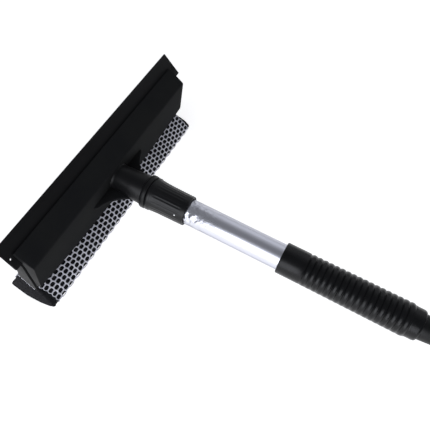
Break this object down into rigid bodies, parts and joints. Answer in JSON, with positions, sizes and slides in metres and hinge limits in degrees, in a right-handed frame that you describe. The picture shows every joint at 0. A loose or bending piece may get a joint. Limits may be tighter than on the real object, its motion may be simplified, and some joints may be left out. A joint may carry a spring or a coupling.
{
  "type": "window squeegee",
  "caption": "Window squeegee with a clamped rubber blade, a netted sponge on its other edge and a telescopic tube handle with a twist lock and ribbed grip.",
  "frame": {"origin": "bottom centre of the object's box, with the sponge as its lowest point and the handle level", "axes": "+Y along the handle from the head to the grip, +X along the head, +Z towards the rubber blade"},
  "size_m": [0.213, 0.3144, 0.0823],
  "materials": {
    "black_plastic": "satin moulded black",
    "black_rubber": "smooth black rubber",
    "grip_rubber": "soft black grip rubber",
    "dark_foam": "open-cell charcoal foam",
    "grey_net": "pale grey knitted net",
    "satin_aluminium": "satin anodised tube",
    "steel": "plain steel"
  },
  "bodies": {
    "handle": {"outer_tube": "satin_aluminium", "tube_bush": "black_plastic", "lock_collet": "black_plastic", "grip": "grip_rubber", "end_cap": "black_plastic", "cap_pin": "steel"},
    "lock": {"lock_sleeve": "black_plastic", "sleeve_pin": "steel"},
    "slider": {"guide_plug": "black_plastic", "plug_ring": "black_rubber"},
    "head": {"head_cover": "black_plastic", "clamp_plate": "black_plastic", "rubber_blade": "black_rubber", "sponge": "dark_foam", "sponge_net": "grey_net", "clamp_screw_1": "steel", "clamp_screw_2": "steel", "clamp_screw_3": "steel", "clamp_screw_4": "steel", "clamp_screw_5": "steel", "neck_ring": "black_plastic", "neck_screw": "steel", "inner_tube": "satin_aluminium"}
  },
  "joints": [
    {"name": "lock_turn", "type": "hinge", "parent": "handle", "child": "lock", "pos_m": [0, -0.0755, 0.05058], "axis": [0, 1, 0], "range_deg": [0, 90]},
    {"name": "handle_extend", "type": "slide", "parent": "handle", "child": "slider", "axis": [0, -1, 0], "range_m": [0, 0.13]},
    {"name": "head_turn", "type": "hinge", "parent": "slider", "child": "head", "pos_m": [0, -0.1228, 0.05058], "axis": [0, 1, 0], "continuous": true}
  ]
}
